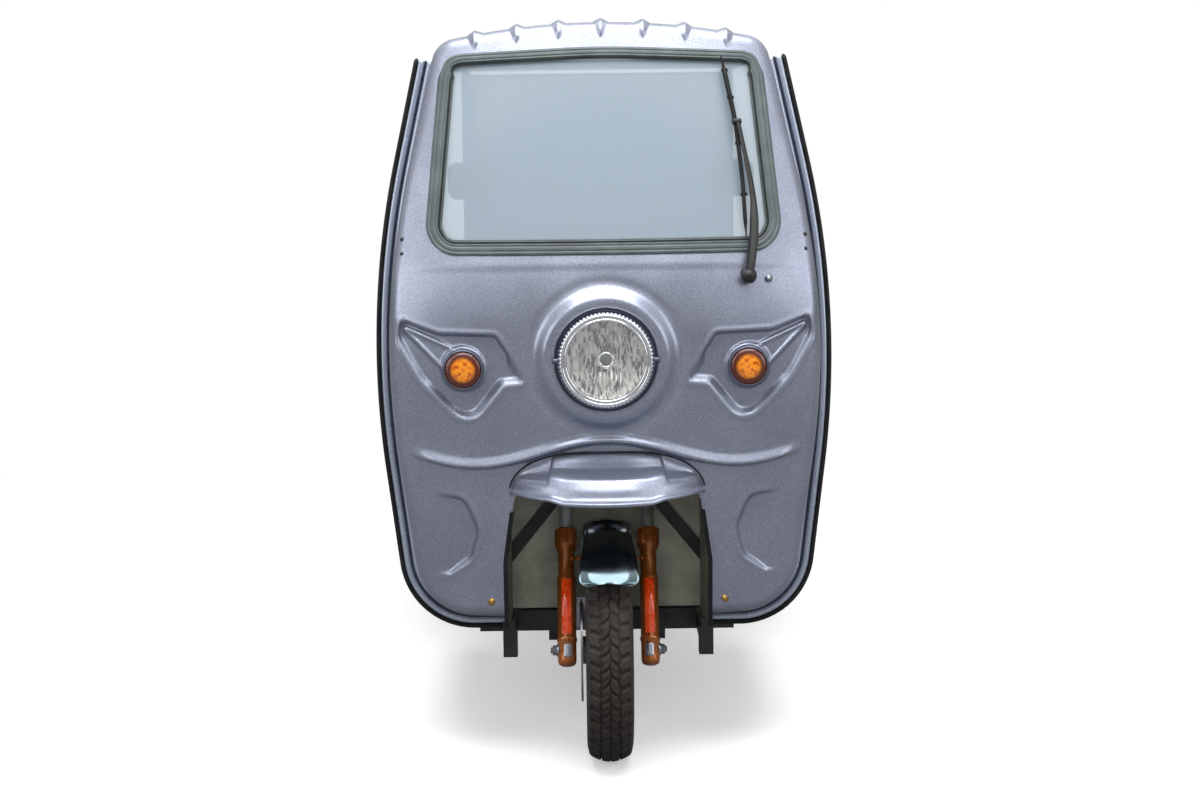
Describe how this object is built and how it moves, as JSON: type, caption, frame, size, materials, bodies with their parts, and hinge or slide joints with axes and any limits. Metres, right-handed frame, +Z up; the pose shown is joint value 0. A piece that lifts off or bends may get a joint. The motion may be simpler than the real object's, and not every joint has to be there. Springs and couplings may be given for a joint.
{
  "type": "electric cargo tricycle",
  "caption": "Open-sided cab with one steered front wheel in an arch under a round headlamp, and a drop-side load bed over a driven rear axle.",
  "frame": {"origin": "on the ground, under the centre of the overall length and width", "axes": "+Z up, -Y is the front (the way it drives), +X is to the right of someone who looks at the front"},
  "size_m": [1.078, 2.8939, 1.6994],
  "materials": {
    "body_paint": "metallic silver-blue lacquer, glossy",
    "frame_paint": "black enamel, semi-gloss",
    "bed_paint": "dark blue-grey enamel, semi-gloss",
    "bright_moulding": "bright rolled strip with a dark groove",
    "rubber": "matt black rubber",
    "seal_rubber": "grey-green rubber, satin",
    "screen_glass": "clear, slightly blue",
    "chrome": "polished chrome",
    "lamp_glass": "clear moulded lens",
    "amber_lens": "amber, translucent",
    "red_lens": "red, translucent",
    "dark_plastic": "grained black plastic",
    "fork_bronze": "bronze lacquer, glossy",
    "steel": "zinc-plated steel",
    "rim_paint": "silver enamel",
    "tyre": "matt black-brown",
    "vinyl": "black stitched vinyl",
    "battery_case": "black moulded case",
    "mirror": "black shell with a mirror face"
  },
  "bodies": {
    "vehicle": {"chassis_rails": "frame_paint", "chassis_crossmembers": "frame_paint", "arch_brackets": "frame_paint", "steering_head": "frame_paint", "front_panel": "body_paint", "roof": "body_paint", "windscreen": "screen_glass", "windscreen_seal": "seal_rubber", "front_pillars": "body_paint", "front_moulding": "bright_moulding", "rubber_edge": "rubber", "arch_trim": "rubber", "visor": "body_paint", "headlamp_bezel": "chrome", "headlamp_lens": "lamp_glass", "headlamp_bowl": "chrome", "indicator_rims": "dark_plastic", "indicator_lenses": "amber_lens", "wiper": "dark_plastic", "wheel_house": "dark_plastic", "floor_pan": "frame_paint", "cab_frame": "body_paint", "cab_rear_wall": "body_paint", "dash": "dark_plastic", "seat_base": "frame_paint", "seat_cushion": "vinyl", "seat_backrest": "vinyl", "battery_pack": "battery_case", "rear_axle": "steel", "drive_motor": "steel", "leaf_springs": "frame_paint", "rear_mudguards": "dark_plastic", "bed_frame": "bed_paint", "bed_floor": "bed_paint", "headboard": "bed_paint", "rear_bar": "frame_paint", "tail_lamps": "red_lens", "brake_pedal": "steel"},
    "front_wheel": {"front_tyre": "tyre", "front_rim": "rim_paint", "brake_disc": "steel"},
    "steering": {"fork_lowers": "fork_bronze", "stanchions": "chrome", "fork_yokes": "frame_paint", "handlebar": "chrome", "grips": "rubber", "mirrors": "mirror", "front_fender": "chrome", "brake_caliper": "steel"},
    "rear_wheel_left": {"rear_tyre_left": "tyre", "rear_rim_left": "rim_paint"},
    "rear_wheel_right": {"rear_tyre_right": "tyre", "rear_rim_right": "rim_paint"},
    "board_left": {"side_board_left": "bed_paint"},
    "board_right": {"side_board_right": "bed_paint"},
    "gate": {"tailgate": "bed_paint"}
  },
  "joints": [
    {"name": "steering", "type": "hinge", "parent": "vehicle", "child": "steering", "pos_m": [0, -1.15089, 0.2367], "axis": [0, 0.4067, 0.9135], "range_deg": [-35, 35]},
    {"name": "front_wheel_spin", "type": "hinge", "parent": "steering", "child": "front_wheel", "pos_m": [0, -1.192, 0.255], "axis": [1, 0, 0], "continuous": true},
    {"name": "rear_wheel_left_spin", "type": "hinge", "parent": "vehicle", "child": "rear_wheel_left", "pos_m": [-0.43, 0.758, 0.255], "axis": [1, 0, 0], "continuous": true},
    {"name": "rear_wheel_right_spin", "type": "hinge", "parent": "vehicle", "child": "rear_wheel_right", "pos_m": [0.43, 0.758, 0.255], "axis": [1, 0, 0], "continuous": true},
    {"name": "board_left_drop", "type": "hinge", "parent": "vehicle", "child": "board_left", "pos_m": [-0.527, 0.677, 0.572], "axis": [0, -1, 0], "range_deg": [0, 178]},
    {"name": "board_right_drop", "type": "hinge", "parent": "vehicle", "child": "board_right", "pos_m": [0.527, 0.677, 0.572], "axis": [0, 1, 0], "range_deg": [0, 178]},
    {"name": "tailgate_drop", "type": "hinge", "parent": "vehicle", "child": "gate", "pos_m": [0, 1.435, 0.572], "axis": [-1, 0, 0], "range_deg": [0, 178]}
  ]
}
